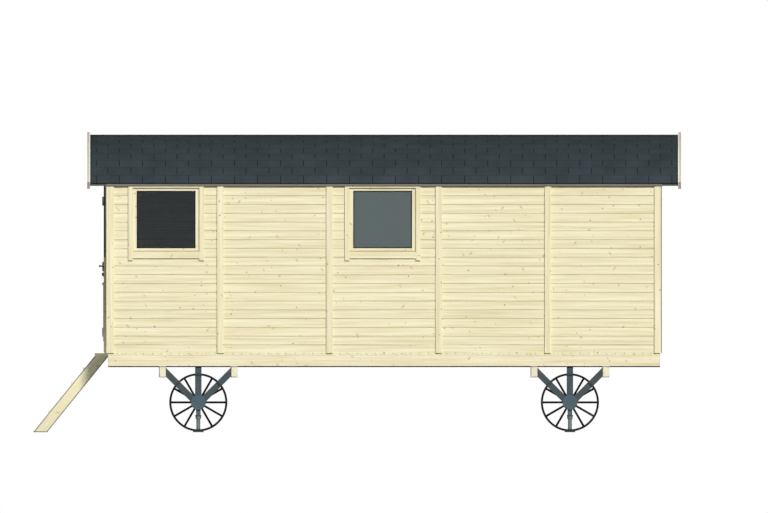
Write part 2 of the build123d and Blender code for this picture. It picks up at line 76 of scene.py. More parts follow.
# Round knots 6 to 15 mm across, and two leans of spike knots, cut lengthwise, across the grain.
# Each sort has its lean, its grid in metres, the share of cells without, its size and depth.
KNOTS = ((0.0, (0.13, 0.11, 1.0), 0.74, 0.023, 1.0),
         (0.9, (0.22, 0.085, 1.0), 0.92, 0.034, 0.42),
         (-0.8, (0.20, 0.080, 1.0), 0.88, 0.034, 0.34))
RIM_EASED = 0.005
RIM_LINE = 0.0072
BEAM_FOOT_LINE, BEAM_SIDE_LINE = 0.008, 0.009
# A painted shade zone reaches past the timber's face, so that it takes in the whole arris
OVER = 0.01


def linear(colour):
    """An sRGB hex colour as linear red, green, blue and alpha."""
    channels = []
    for shift in (16, 8, 0):
        value = (colour >> shift & 255) / 255
        channels.append(value / 12.92 if value <= 0.04045 else ((value + 0.055) / 1.055) ** 2.4)
    return (*channels, 1.0)


def add(tree, kind, *values, **named):
    """Adds a node: values fill its sockets in order, and names set its options or sockets.

    A value is a number, a colour, a socket, or a node that stands for its first output. The
    kind may end with the node's operation.
    """
    kind, *operation = kind.split()
    made = tree.nodes.new("ShaderNode" + kind)
    if operation:
        made.operation = operation[0]
    sockets = dict(enumerate(values))
    for name, value in named.items():
        if name[0].islower():
            setattr(made, name, value)
        else:
            sockets[int(name[1:]) if name[0] == "_" else name.replace("_", " ")] = value
    for name, value in sockets.items():
        value = getattr(value, "outputs", [value])[0]
        if isinstance(value, bpy.types.NodeSocket):
            tree.links.new(value, made.inputs[name])
        else:
            made.inputs[name].default_value = value
    return made


def finish_named(name):
    """A new empty material and its node tree."""
    material = bpy.data.materials.new(name)
    material.use_nodes = True
    material.node_tree.nodes.clear()
    return material, material.node_tree


def between(tree, reading, low, high):
    """One where a reading lies between two values, and nought elsewhere."""
    over = add(tree, "Math GREATER_THAN", reading, low)
    under = add(tree, "Math LESS_THAN", reading, high)
    return add(tree, "Math MULTIPLY", over, under)


def wagon_axes(tree, place, lean, bent):
    """Ways over the wagon: X, Y, Z leaned with the timber, U upright, A and R round the roof."""
    leaned = add(tree, "Mapping", place.outputs["Object"], Rotation=(0.0, lean, 0.0))
    split = add(tree, "SeparateXYZ", leaned)
    axes = {axis: split.outputs[axis] for axis in "XYZ"}
    axes["U"] = add(tree, "SeparateXYZ", place.outputs["Object"]).outputs["Z"]
    if bent:
        rise = add(tree, "Math SUBTRACT", axes["Z"], ROOF_AXIS)
        turn = add(tree, "Math ARCTAN2", axes["Y"], rise)
        axes["A"] = add(tree, "Math MULTIPLY", turn, ROOF_RADIUS)
        squares = [add(tree, "Math POWER", side, 2.0) for side in (rise, axes["Y"])]
        reach = add(tree, "Math ADD", *squares)
        axes["R"] = add(tree, "Math SQRT", reach)
    return axes


def with_knots(tree, sheet, colour):
    """Lays each sort of knot over the boards' colour, a dark core in a yellow halo."""
    for lean, grid, without, size, depth in KNOTS:
        spread = add(tree, "Mapping", sheet, vector_type="TEXTURE", Rotation=(0.0, 0.0, lean),
                     Scale=grid)
        spots = add(tree, "TexVoronoi", spread, voronoi_dimensions="2D", Scale=1.0)
        pick = add(tree, "SeparateColor", spots.outputs["Color"])
        held = add(tree, "Math GREATER_THAN", pick, without)
        larger = add(tree, "Math ADD", pick.outputs[1], 0.7)
        wide = add(tree, "Math MULTIPLY", larger, size)
        away = add(tree, "Math DIVIDE", spots.outputs["Distance"], wide)
        halo = add(tree, "MapRange", away, From_Min=1.0, From_Max=3.5, To_Min=0.4, To_Max=0.0)
        core = add(tree, "MapRange", away, From_Min=0.8, From_Max=1.6, To_Min=depth, To_Max=0.0)
        for part, tint in ((halo, SPRUCE_RING), (core, SPRUCE_KNOT)):
            share = add(tree, "Math MULTIPLY", part, held)
            colour = add(tree, "Mix", share, data_type="RGBA", _6=colour,
                         _7=linear(tint)).outputs[2]
    return colour


def edge_shade_painted(tree, place, axes, grain, arris, shade):
    """Paints shade along outer arrises as dark edge lines; faces that look along the wagon are left
    unpainted.
    """
    facing = add(tree, "SeparateXYZ", place.outputs["Normal"])
    facing = add(tree, "Math ABSOLUTE", facing.outputs["X" if grain == "A" else "Y"])
    if grain == "A":
        bare = add(tree, "Math LESS_THAN", facing, 0.8)
    else:
        bare = add(tree, "Math GREATER_THAN", facing, 0.5)
    for left, *ranges in arris:
        loss = add(tree, "Math MULTIPLY", bare, 1.0 - left)
        for axis, low, high in ranges:
            loss = add(tree, "Math MULTIPLY", loss, between(tree, axes[axis], low, high))
        kept = add(tree, "Math SUBTRACT", 1.0, loss)
        shade = add(tree, "Math MULTIPLY", shade, kept)
    return shade


def spruce(name, grain, across, course=0.145, start=0.0, lean=0.0, tone=1.0, joint=0.0, level=(),
           warmth=1.0, arris=()):
    """Planed spruce whose grain runs along one axis and whose boards lie side by side.

    Grain and across name the ways of wagon_axes, and a board is one course wide. A joint is half
    the width of the dust in it. Level lists heights where the grain turns across. Arris lists
    zones of painted shade, each the brightness left and its ranges along the ways.
    """
    material, tree = finish_named(name)
    place = add(tree, "TexCoord")
    axes = wagon_axes(tree, place, lean, "A" in grain + across)
    along, first = axes[grain], axes[across[0]]
    beside = add(tree, "Math ADD", first, axes[across[1]])
    for low, high in level:
        total = add(tree, "Math ADD", along, beside)
        along = add(tree, "Mix", between(tree, axes["Z"], low, high), _2=along, _3=axes["Y"])
        beside = add(tree, "Math SUBTRACT", total, along)
    boards = add(tree, "Math DIVIDE", add(tree, "Math SUBTRACT", first, start), course)
    number = add(tree, "Math FLOOR", boards)
    chance = add(tree, "TexWhiteNoise", noise_dimensions="1D", W=number).outputs["Value"]
    slide = add(tree, "Math MULTIPLY", chance, BOARD_SLIDE)
    sheet = add(tree, "CombineXYZ", *[add(tree, "Math ADD", way, slide) for way in (along, beside)])
    # Growth rings cut lengthwise: pale early wood, with darker late wood in bands and in fibres
    bands = add(tree, "TexNoise", add(tree, "Mapping", sheet, Scale=BANDS_PER_METRE), Scale=1.0,
                Detail=3.0, Roughness=0.55)
    fibres = add(tree, "TexNoise", add(tree, "Mapping", sheet, Scale=FIBRES_PER_METRE), Scale=1.0,
                 Detail=2.0, Roughness=0.6)
    figure = add(tree, "Math ADD", add(tree, "Math MULTIPLY", bands, 0.75),
                 add(tree, "Math MULTIPLY", fibres, 0.25))
    ringed = add(tree, "ValToRGB", figure)
    for point, position, tint in zip(ringed.color_ramp.elements, (0.32, 0.62),
                                     (SPRUCE_DARK, SPRUCE_LIGHT)):
        point.position, point.color = position, linear(tint)
    colour = with_knots(tree, sheet, ringed)
    # One board is up to a twentieth part lighter than the next
    shade = add(tree, "Math MULTIPLY", add(tree, "Math ADD", chance, 22.0), tone / 22.5)
    if joint:
        # Dust and raised fibres darken the bottom of the joint between two boards
        nearest = add(tree, "Math ROUND", boards)
        edge = add(tree, "Math SUBTRACT", boards, nearest)
        edge = add(tree, "Math ABSOLUTE", edge)
        dusty = add(tree, "MapRange", edge, From_Max=joint / course, To_Min=JOINT_SHADE)
        shade = add(tree, "Math MULTIPLY", shade, dusty)
    # Painted shade darkens the arrises that arris lists
    if arris:
        shade = edge_shade_painted(tree, place, axes, grain, arris, shade)
    board = add(tree, "HueSaturation", Saturation=warmth, Value=shade, Color=colour)
    raised = add(tree, "Bump", Strength=0.25, Distance=0.0003, Height=figure)
    skin = add(tree, "BsdfPrincipled", Base_Color=board, Roughness=0.62, IOR=1.45, Normal=raised)
    add(tree, "OutputMaterial", Surface=skin)
    return material


def paint(material, *names):
    """Gives a material to pieces of the frame by name."""
    for name in names:
        mesh = nodes[name].data
        mesh.materials.clear()
        mesh.materials.append(material)


def let_go():
    """Deselects everything."""
    bpy.ops.object.select_all(action="DESELECT")


def timber(name, low, high):
    """A squared piece of timber between two corners, its place in its mesh."""
    let_go()
    middle = [(first + second) / 2 for first, second in zip(low, high)]
    bpy.ops.mesh.primitive_cube_add(size=1.0, location=middle)
    piece = bpy.context.object
    piece.name = name
    piece.scale = [second - first for first, second in zip(low, high)]
    bpy.ops.object.transform_apply(location=True, rotation=True, scale=True)
    return piece


def ease(piece, width, chosen):
    """Bevels the edges that a test on their two ends picks."""
    bpy.context.view_layer.objects.active = piece
    bpy.ops.object.mode_set(mode="EDIT")
    bpy.ops.mesh.select_mode(type="EDGE")
    bpy.ops.mesh.select_all(action="DESELECT")
    bpy.ops.object.mode_set(mode="OBJECT")
    for edge in piece.data.edges:
        first, second = (piece.data.vertices[place].co for place in edge.vertices)
        edge.select = chosen(first, second)
    bpy.ops.object.mode_set(mode="EDIT")
    bpy.ops.mesh.bevel(offset=width, segments=1, affect="EDGES")
    bpy.ops.object.mode_set(mode="OBJECT")


def planed(name, low, high, material, width):
    """A squared piece of timber with every edge eased, in its own grain."""
    piece = timber(name, low, high)
    ease(piece, width, lambda a, b: True)
    piece.data.materials.append(material)
    return piece


def joined(name, pieces):
    """Several pieces made one."""
    let_go()
    for piece in pieces:
        piece.select_set(True)
    bpy.context.view_layer.objects.active = pieces[0]
    bpy.ops.object.join()
    pieces[0].name = name
    return pieces[0]


def placed(piece, body, slot, *stands_for):
    """Puts a finished piece on its body and says which pieces of the frame it stands for."""
    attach(piece, body)
    if stands_for:
        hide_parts(*stands_for)


def parted(node, axis, gap):
    """The boxes of a frame piece's separate solids, told apart by the gaps along one axis."""
    spots = sorted((tuple(vertex.co) for vertex in nodes[node].data.vertices),
                   key=lambda spot: spot[axis])
    groups = [[spots[0]]]
    for spot in spots[1:]:
        if spot[axis] - groups[-1][-1][axis] > gap:
            groups.append([])
        groups[-1].append(spot)
    return [tuple(Vector(pick(spot[side] for spot in group) for side in range(3))
                  for pick in (min, max)) for group in groups]


spruce_crosswise = spruce("spruce_crosswise", "Y", "XZ")
paint(spruce_crosswise, "inner_joists", "end_joists")

# The rims' lower arris is painted dark as shade, but for where a beam stands against it
beam_places = parted("cross_beams", 0, 0.2)
rim_low, rim_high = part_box("rim_joist_near")
beam_sides = [x for low, high in beam_places for x in (low.x, high.x)]
bays = [rim_low.x - 1, *beam_sides, rim_high.x + 1]
spruce_lengthwise = spruce("spruce_lengthwise", "X", "ZY", arris=[
    (0.08, ("Z", rim_low.z - OVER, rim_low.z + RIM_LINE), ("X", start, end))
    for start, end in zip(bays[::2], bays[1::2])])
for side in ("near", "far"):
    rim = planed(f"{side}_rim_board", *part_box(f"rim_joist_{side}"), spruce_lengthwise, RIM_EASED)
    placed(rim, "wagon", "spruce", f"rim_joist_{side}")

# Painted shade darkens each beam's foot and its side towards the front of the wagon
beam_foot = beam_places[0][0].z
beam_arris = [(0.45, ("Z", beam_foot - OVER, beam_foot + BEAM_FOOT_LINE))]
beam_arris += [(0.4, ("X", low.x - OVER, low.x + BEAM_SIDE_LINE)) for low, high in beam_places]
spruce_beam = spruce("spruce_beam", "Y", "XZ", warmth=0.85, arris=beam_arris)
beams = [planed("beam", low, high, spruce_beam, RIM_EASED) for low, high in beam_places]
placed(joined("beams", beams), "wagon", "spruce", "cross_beams")


# The floor: tongued boards laid across the joists, their sawn ends in view along the side.
# Each is 88.7 mm wide and 20 mm thick, with its top corners eased.
FLOOR_BOARD = 0.0887
FLOOR_EASED = 0.006
JOINT_DUST = 0.004
SAW_GAP = 0.0005


def applied(piece, kind, **settings):
    """Adds a modifier to a piece and applies it."""
    bpy.context.view_layer.objects.active = piece
    modifier = piece.modifiers.new(kind.lower(), kind)
    for name, value in settings.items():
        setattr(modifier, name, value)
    bpy.ops.object.modifier_apply(modifier=modifier.name)


def repeated(piece, count, step):
    """Repeats a piece along a line, one step after another."""
    applied(piece, "ARRAY", count=count, use_relative_offset=False, use_constant_offset=True,
            constant_offset_displace=step)


floor_low, floor_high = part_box("floor")
board_count = round((floor_high.x - floor_low.x) / FLOOR_BOARD)
floor_pitch = (floor_high.x - floor_low.x) / board_count
floor_boards = timber("floor_boards", floor_low,
                      (floor_low.x + floor_pitch - SAW_GAP, floor_high.y, floor_high.z))
ease(floor_boards, FLOOR_EASED,
     lambda a, b: min(a.z, b.z) > floor_high.z - 1e-5 and abs(a.y - b.y) > 0.1)
repeated(floor_boards, board_count, (floor_pitch, 0, 0))
spruce_floor = spruce("spruce_floor", "Y", "XZ", course=floor_pitch, start=floor_low.x,
                      joint=JOINT_DUST)
floor_boards.data.materials.append(spruce_floor)
placed(floor_boards, "wagon", "spruce", "floor")


# The walls: boards laid on each other from the floor up, tongued, with a V joint between them.
# Each covers 87.8 mm. The windows and the doorway are sawn out, and the top follows the roof.
SIDING_COVER = 0.08776
SIDING_LINE = 0.7832
SIDING_DUST = 0.006
V_JOINT = 0.005
BOARD_GAP = 0.0005
TONGUE_IN, TONGUE_END = 0.028, 0.003
ROOF_RADIUS = 1.745
ROOF_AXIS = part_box("roof_shingles")[1].z - ROOF_RADIUS
DECK_UNDER = 1.7165


def cut_by(piece, tool, operation="DIFFERENCE"):
    """Cuts a piece by a tool's shape, and puts the tool away."""
    applied(piece, "BOOLEAN", operation=operation, object=tool, solver="EXACT")
    bpy.data.objects.remove(tool)


def under_roof(piece):
    """Cuts a piece to the round underside of the roof deck."""
    let_go()
    bpy.ops.mesh.primitive_cylinder_add(vertices=360, radius=DECK_UNDER, depth=8.0,
                                        location=(BODY_MIDDLE, 0, ROOF_AXIS),
                                        rotation=(0, math.radians(90), 0))
    cut_by(piece, bpy.context.object, "INTERSECT")


def sawn_out(piece, low, high):
    """Saws a square hole or notch out of a piece."""
    cut_by(piece, timber("saw", low, high))


def boarding(name, low, high, along, holes=()):
    """Boards of one wall, along X or Y, stacked to the roof, with holes sawn through them."""
    board = timber(name, (low.x, low.y, SIDING_LINE),
                   (high.x, high.y, SIDING_LINE + SIDING_COVER - BOARD_GAP))
    ease(board, V_JOINT, lambda a, b: abs(a[along] - b[along]) > 0.1)
    rows = math.ceil((high.z - SIDING_LINE) / SIDING_COVER)
    repeated(board, rows, (0, 0, SIDING_COVER))
    # The tongues fill the joints from within, so no daylight shows between two boards
    inset = Vector((TONGUE_IN, TONGUE_END, 0) if along else (TONGUE_END, TONGUE_IN, 0))
    tongues = timber("tongues", low + inset, high - inset)
    for piece in (board, tongues):
        sawn_out(piece, (low.x - 0.1, low.y - 0.1, 0.5), (high.x + 0.1, high.y + 0.1, low.z))
        for hole in holes:
            sawn_out(piece, *hole)
        under_roof(piece)
    return joined(name, [board, tongues])


def window_places(side):
    """Each window frame's lowest and highest corner on one side of the wagon."""
    return parted(f"{side}_window_frames", 0, 0.7)


spruce_siding, spruce_end_siding = [
    spruce(name, grain, across, course=SIDING_COVER, start=SIDING_LINE, joint=SIDING_DUST)
    for name, grain, across in (("spruce_siding", "X", "ZY"), ("spruce_end_siding", "Y", "ZX"))]
SAW_REACH = Vector((0, 0.2, 0))
for side in ("near", "far"):
    low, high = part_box(f"{side}_wall")
    holes = [(first - SAW_REACH, second + SAW_REACH) for first, second in window_places(side)]
    wall = boarding(f"{side}_siding", low, high, 0, holes)
    wall.data.materials.append(spruce_siding)
    placed(wall, "wagon", "spruce", f"{side}_wall")

rear = boarding("rear_siding", *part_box("rear_wall"), 1)
near_low, near_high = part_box("front_wall_near")
far_low, far_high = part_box("front_wall_far")
over_low, over_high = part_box("front_wall_over_door")
doorway = (Vector((near_low.x - 0.2, near_high.y, 0.5)),
           Vector((near_high.x + 0.2, far_low.y, over_low.z)))
front = boarding("front_siding", near_low, Vector((far_high.x, far_high.y, over_high.z)), 1,
                 [doorway])
rear.data.materials.append(spruce_end_siding)
front.data.materials.append(spruce_end_siding)
placed(rear, "wagon", "spruce", "rear_wall")
placed(front, "wagon", "spruce", "front_wall_near", "front_wall_far", "front_wall_over_door")


# Battens nailed over the boarding, and the corner boards that cover its ends.
# Planed uprights with eased edges. The frame's own solids are the finished shapes.
CORNER_LINE = 0.009
DOOR_LINE, DOOR_LINE_LOW, DOOR_LINE_HIGH = 0.012, 1.75, 2.6
rear_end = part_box("rear_corner_boards")[1].x
door_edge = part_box("door_frame")[0].x
# Painted shade blackens the door's outer edge above its drip bar
black_edge = (0.12, ("X", door_edge - OVER, door_edge + DOOR_LINE),
              ("Z", DOOR_LINE_LOW, DOOR_LINE_HIGH))
# Painted shade darkens the rear corner boards' outer edge
rear_edge = (0.3, ("X", rear_end - CORNER_LINE, rear_end + OVER))
spruce_upright = spruce("spruce_upright", "Z", "XY", course=0.19, arris=(rear_edge, black_edge))
paint(spruce_upright, "near_battens", "far_battens", "front_corner_boards", "rear_corner_boards")


# The roof deck: thirty narrow boards side by side, nailed across the ribs from eave to eave.
# Planed spruce with a V joint between two boards that shows inside and under the eaves.
DECK_BOARDS = 30
DECK_THICK = 0.0196
DECK_EASED = 0.004
DECK_LIFT = 0.0005
SHINGLES_DEEP = 0.008


def about_roof(turn):
    """A turn about the roof's axis."""
    centre = Matrix.Translation((0, 0, ROOF_AXIS))
    return centre @ Matrix.Rotation(-turn, 4, "X") @ centre.inverted()


def copied(piece, placing):
    """A copy of a piece with its own mesh, moved by a matrix."""
    twin = piece.copy()
    twin.data = piece.data.copy()
    twin.data.transform(placing)
    bpy.context.scene.collection.objects.link(twin)
    return twin


deck_low, deck_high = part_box("roof_deck")
deck_edge = math.asin(deck_high.y / (ROOF_RADIUS - SHINGLES_DEEP))
deck_turn = 2 * deck_edge / DECK_BOARDS
half_board = (DECK_UNDER + DECK_LIFT) * math.tan(deck_turn / 2) - BOARD_GAP
deck_foot = ROOF_AXIS + DECK_UNDER + DECK_LIFT
deck_board = timber("deck_board", (deck_low.x, -half_board, deck_foot),
                    (deck_high.x, half_board, deck_foot + DECK_THICK))
ease(deck_board, DECK_EASED, lambda a, b: abs(a.x - b.x) > 1 and a.z < deck_foot + 0.001)
boards = [copied(deck_board, about_roof(deck_turn * (step - (DECK_BOARDS - 1) / 2)))
          for step in range(DECK_BOARDS)]
bpy.data.objects.remove(deck_board)
roof_boards = joined("roof_boards", boards)
spruce_deck = spruce("spruce_deck", "X", "AR", course=deck_turn * ROOF_RADIUS,
                     start=-deck_edge * ROOF_RADIUS, joint=JOINT_DUST)
roof_boards.data.materials.append(spruce_deck)
placed(roof_boards, "wagon", "spruce", "roof_deck")


# A slat under each eave, nailed to the edge of the deck, to shed drips.
# Spruce 13 mm thick, painted a dark grey-green as the shade under the eave, and darker still as
# painted shade where it stands clear of the wall.
SLAT_THICK, SLAT_LOW, SLAT_HIGH = 0.013, 2.463, 2.4875
SLAT_EASED = 0.002
SLAT_FACE = (DECK_UNDER + DECK_LIFT) * math.sin(deck_edge) + 0.011
clear_of_wall = ((deck_low.x - 1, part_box("front_corner_boards")[0].x), (rear_end, deck_high.x + 1))
# Painted shade: the slat's dark tone, and its darker stretches beyond the walls
eave_shade_spruce = spruce("eave_shade_spruce", "X", "ZY", tone=0.24, warmth=0.85, arris=[
    (0.35, ("X", start, end)) for start, end in clear_of_wall])
for side, out in (("near", -1), ("far", 1)):
    y = sorted((out * SLAT_FACE, out * (SLAT_FACE - SLAT_THICK)))
    slat = planed(f"{side}_eave_slat", (deck_low.x, y[0], SLAT_LOW),
                  (deck_high.x, y[1], SLAT_HIGH), eave_shade_spruce, SLAT_EASED)
    placed(slat, "wagon", "spruce")


# Bent ribs under the deck, and a bargeboard round each end of the roof.
# Both are glued up from strips and sawn to the arc, so their grain follows the bend.
STRIP_THICK = 0.05
BARGE_LINE = 0.017
barge_ends = (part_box("front_bargeboard")[0].x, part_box("rear_bargeboard")[1].x)
# Painted shade darkens the outer edge of each bargeboard
spruce_bent = spruce("spruce_bent", "A", "RX", course=STRIP_THICK, tone=1.02, warmth=0.62, arris=[
    (0.64, ("X", end - BARGE_LINE, end + BARGE_LINE)) for end in barge_ends])
paint(spruce_bent, "roof_ribs", "front_bargeboard", "rear_bargeboard")


# The shingles: felt strips soaked in bitumen, with mineral grit, cut into tabs 230 mm wide.
# Each course laps the one below, shows 130 mm, and its slots lie over the middle of those tabs.
TAB_WIDE = 0.2302
TAB_SLOT = 0.0066
TAB_THICK = 0.0032
TAB_LAP = 0.02
TAB_TIP = 0.0042
TAB_EASED = 0.0012
COURSES = 10
EXPOSURE = math.radians(4.25)
FIRST_COURSE = math.radians(3.9)
FELT_UNDER = 0.0075
FELT_THICK = 0.003
# Two faces that would lie in one plane are kept this far apart
HAIR = 0.0003
SHINGLE_TOP = 0x2B3233
SHINGLE_GRIT = 0x3D4647
SHINGLE_SEAM = 0x15191A
# Grit of 1 to 2 mm, drawn at 4 mm so that it still shows at the size of a catalogue picture,
# and clouds of lighter and darker grit 200 mm wide
GRIT_PER_METRE = 240.0
CLOUDS_PER_METRE = 5.0
# Brightness left, as painted shade and light: from crown to eave, over the ridge, on the caps,
# at the bargeboards, under each butt, and at the eave's lip
CROWN_SHADE_PAINTED, EAVE_LIGHT_PAINTED = 0.94, 1.12
RIDGE_LEFT, CAP_LEFT, END_LEFT, BUTT_LEFT, LIP_LEFT = 0.6, 0.6, 0.4, 0.72, 0.55

shingle_low, shingle_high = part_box("roof_shingles")
half_roof = (shingle_high.x - shingle_low.x) / 2
eave_turn = math.asin(shingle_high.y / ROOF_RADIUS)


def shingle_grit(name, dark, light):
    """Bitumen shingle: matte grit in blue-grey and green-grey, each tab a shade apart."""
    material, tree = finish_named(name)
    place = add(tree, "TexCoord").outputs["Object"]
    axes = add(tree, "SeparateXYZ", place)
    out = add(tree, "Math SUBTRACT", axes.outputs["X"], BODY_MIDDLE)
    rise = add(tree, "Math SUBTRACT", axes.outputs["Z"], ROOF_AXIS)
    turn = add(tree, "Math ARCTAN2", axes.outputs["Y"], rise)
    turn = add(tree, "Math ABSOLUTE", turn)
    down = add(tree, "Math SUBTRACT", turn, eave_turn - FIRST_COURSE)
    down = add(tree, "Math DIVIDE", down, EXPOSURE)
    course = add(tree, "Math FLOOR", down)
    half = add(tree, "Math PINGPONG", course, 1.0)
    half = add(tree, "Math MULTIPLY", half, 0.5)
    step = add(tree, "Math DIVIDE", out, TAB_WIDE)
    tab = add(tree, "Math ADD", step, half)
    tab = add(tree, "Math FLOOR", tab)
    chance = add(tree, "TexWhiteNoise", add(tree, "CombineXYZ", tab, course),
                 noise_dimensions="2D").outputs["Value"]
    grit = add(tree, "TexNoise", place, Scale=GRIT_PER_METRE, Detail=3.0, Roughness=0.7)
    cloud = add(tree, "TexNoise", place, Scale=CLOUDS_PER_METRE, Detail=2.0)
    mixed = add(tree, "Math ADD", add(tree, "Math MULTIPLY", grit, 0.7),
                add(tree, "Math MULTIPLY", cloud, 0.3))
    tone = add(tree, "ValToRGB", mixed)
    for point, position, tint in zip(tone.color_ramp.elements, (0.35, 0.68), (dark, light)):
        point.position, point.color = position, linear(tint)
    # A tab is up to a sixth brighter than the next and a little bluer. The starter strip at the
    # eave is painted brighter again, as painted light, and bluer.
    starter = add(tree, "Math GREATER_THAN", down, 0.0)
    readings = []
    for least, spread, extra in ((0.92, 0.16, 0.12), (0.48, 0.04, 0.05)):
        own = add(tree, "Math MULTIPLY", chance, spread)
        own = add(tree, "Math ADD", own, least)
        more = add(tree, "Math MULTIPLY", starter, extra)
        readings.append(add(tree, "Math ADD", own, more))
    shade, hue = readings
    # Painted shade and light: the roof is painted darker towards the crown and brighter towards the
    # eave, darker again over the ridge and the caps, with painted shade against the bargeboards, a
    # painted shadow a few millimetres deep under each butt, and painted shade at the eave's lip.
    # Each row is a reading, the stretch over which it changes, and the brightness left before and
    # after.
    reach = add(tree, "Math ABSOLUTE", out)
    under = add(tree, "Math FRACT", down)
    under = add(tree, "Math MULTIPLY", under, EXPOSURE * ROOF_RADIUS)
    for reading, start, end, first, last in (
            (turn, 0.4, eave_turn, CROWN_SHADE_PAINTED, EAVE_LIGHT_PAINTED), (turn, 0.12, 0.4, RIDGE_LEFT, 1.0),
            (turn, 0.13, 0.18, CAP_LEFT, 1.0),
            (reach, half_roof - 0.013, half_roof - 0.009, 1.0, END_LEFT),
            (under, 0.003, 0.010, BUTT_LEFT, 1.0),
            (turn, eave_turn - 0.007, eave_turn, 1.0, LIP_LEFT)):
        left = add(tree, "MapRange", reading, From_Min=start, From_Max=end, To_Min=first,
                   To_Max=last)
        shade = add(tree, "Math MULTIPLY", shade, left)
    tab_tone = add(tree, "HueSaturation", Saturation=1.15, Hue=hue, Value=shade, Color=tone)
    raised = add(tree, "Bump", Strength=0.5, Distance=0.001, Height=grit)
    skin = add(tree, "BsdfPrincipled", Base_Color=tab_tone, Roughness=0.9,
               Specular_IOR_Level=0.15, Normal=raised)
    add(tree, "OutputMaterial", Surface=skin)
    return material


def felt_band(name, inner, thick, turn, first, last):
    """A band of felt bent over the roof: a strip on edge, spun about the roof's axis."""
    let_go()
    bpy.ops.mesh.primitive_plane_add(size=1.0)
    band = bpy.context.object
    band.name = name
    edge = [(first, 0, ROOF_AXIS + inner), (last, 0, ROOF_AXIS + inner),
            (last, 0, ROOF_AXIS + inner + thick), (first, 0, ROOF_AXIS + inner + thick)]
    order = band.data.polygons[0].vertices
    for place, corner in zip(order, edge):
        band.data.vertices[place].co = about_roof(-turn) @ Vector(corner)
    bpy.ops.object.mode_set(mode="EDIT")
    bpy.ops.mesh.select_all(action="SELECT")
    bpy.ops.mesh.spin(steps=72, angle=2 * turn, center=(0, 0, ROOF_AXIS), axis=(1, 0, 0))
    bpy.ops.mesh.select_all(action="SELECT")
    bpy.ops.mesh.remove_doubles(threshold=0.00001)
    bpy.ops.mesh.normals_make_consistent(inside=False)
    bpy.ops.object.mode_set(mode="OBJECT")
    return band


def cut_off(piece, planes):
    """Saws a piece off at planes, each a point and the way that the kept part lies."""
    bpy.context.view_layer.objects.active = piece
    bpy.ops.object.mode_set(mode="EDIT")
    for point, normal in planes:
        bpy.ops.mesh.select_all(action="SELECT")
        bpy.ops.mesh.bisect(plane_co=point, plane_no=normal, use_fill=True, clear_inner=True)
    bpy.ops.object.mode_set(mode="OBJECT")


first_x, last_x = shingle_low.x, shingle_high.x
felt = felt_band("roof_felt", ROOF_RADIUS - FELT_UNDER, FELT_THICK, eave_turn, first_x, last_x)
bitumen_felt = shingle_grit("bitumen_felt", SHINGLE_SEAM, SHINGLE_SEAM)
felt.data.materials.append(bitumen_felt)
placed(felt, "wagon", "bitumen_shingle", "roof_shingles")

tabs_across = math.ceil((last_x - first_x) / TAB_WIDE) + 2
tab_bottom = ROOF_AXIS + ROOF_RADIUS - TAB_THICK - HAIR
row_start = BODY_MIDDLE - TAB_WIDE * (tabs_across // 2) + TAB_SLOT / 2
courses = []
for side in (1, -1):
    turn = eave_turn
    for number in range(COURSES):
        shown = FIRST_COURSE if number == 0 else EXPOSURE
        left = row_start + (TAB_WIDE / 2 if number % 2 == 0 else 0.0)
        long = shown * ROOF_RADIUS + TAB_LAP
        tab = timber("tab", (left, -long, tab_bottom),
                     (left + TAB_WIDE - TAB_SLOT, 0, tab_bottom + TAB_THICK))
        ease(tab, TAB_EASED,
             lambda a, b: min(a.z, b.z) > tab_bottom + 0.002 and min(a.y, b.y) > -0.001)
        # The head of each tab tips down under the course above
        for vertex in tab.data.vertices:
            if vertex.co.y < -long + 0.001:
                vertex.co.z -= TAB_TIP
        repeated(tab, tabs_across, (TAB_WIDE, 0, 0))
        cut_off(tab, (((first_x, 0, 0), (1, 0, 0)), ((last_x, 0, 0), (-1, 0, 0))))
        if side < 0:
            tab.data.transform(Matrix.Scale(-1, 4, (0, 1, 0)))
            tab.data.flip_normals()
        tab.data.transform(about_roof(side * turn))
        courses.append(tab)
        turn -= shown
shingles = joined("roof_shingle_courses", courses)
grit_shingle = shingle_grit("grit_shingle", SHINGLE_TOP, SHINGLE_GRIT)
shingles.data.materials.append(grit_shingle)
placed(shingles, "wagon", "bitumen_shingle")

# The same felt lies under each long wall and each rim board, where it keeps the damp out.
# Each strip has its top, how far its ends and its sides stand in, and how deep it reaches.
for side in ("near", "far"):
    strips = []
    for above, top, end_in, side_in, deep in (
            (f"{side}_wall", floor_high.z, 0.002, 0.008, 0.0065),
            (f"rim_joist_{side}", rim_low.z, 0.001, 0.0012, 0.0045)):
        low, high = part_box(above)
        strip = timber("strip", (low.x + end_in, low.y + side_in, top - deep),
                       (high.x - end_in, high.y - side_in, top + HAIR))
        strip.data.materials.append(bitumen_felt)
        strips.append(strip)
    placed(joined(f"{side}_damp_course", strips), "wagon", "bitumen_shingle")


# Ridge caps over the crown: single tabs laid across it, each lapping the next by half.
CAP_WIDE = 0.26
CAP_EXPOSURE = 0.14
CAP_THICK = 0.0024
CAP_RISE = 0.0006
CAP_TOP = 0x161A1B
CAP_GRIT = 0x252B2D
caps = []
for number in range(math.ceil((last_x - first_x) / CAP_EXPOSURE)):
    start = first_x + number * CAP_EXPOSURE
    end = min(start + CAP_EXPOSURE, last_x)
    cap = felt_band("cap", ROOF_RADIUS - 0.001, CAP_THICK, CAP_WIDE / 2 / ROOF_RADIUS, start, end)
    for vertex in cap.data.vertices:
        vertex.co.z += CAP_RISE if vertex.co.x > end - 0.001 else 0.0
    caps.append(cap)
ridge = joined("ridge_caps", caps)
cap_shingle = shingle_grit("cap_shingle", CAP_TOP, CAP_GRIT)
ridge.data.materials.append(cap_shingle)
placed(ridge, "wagon", "bitumen_shingle")


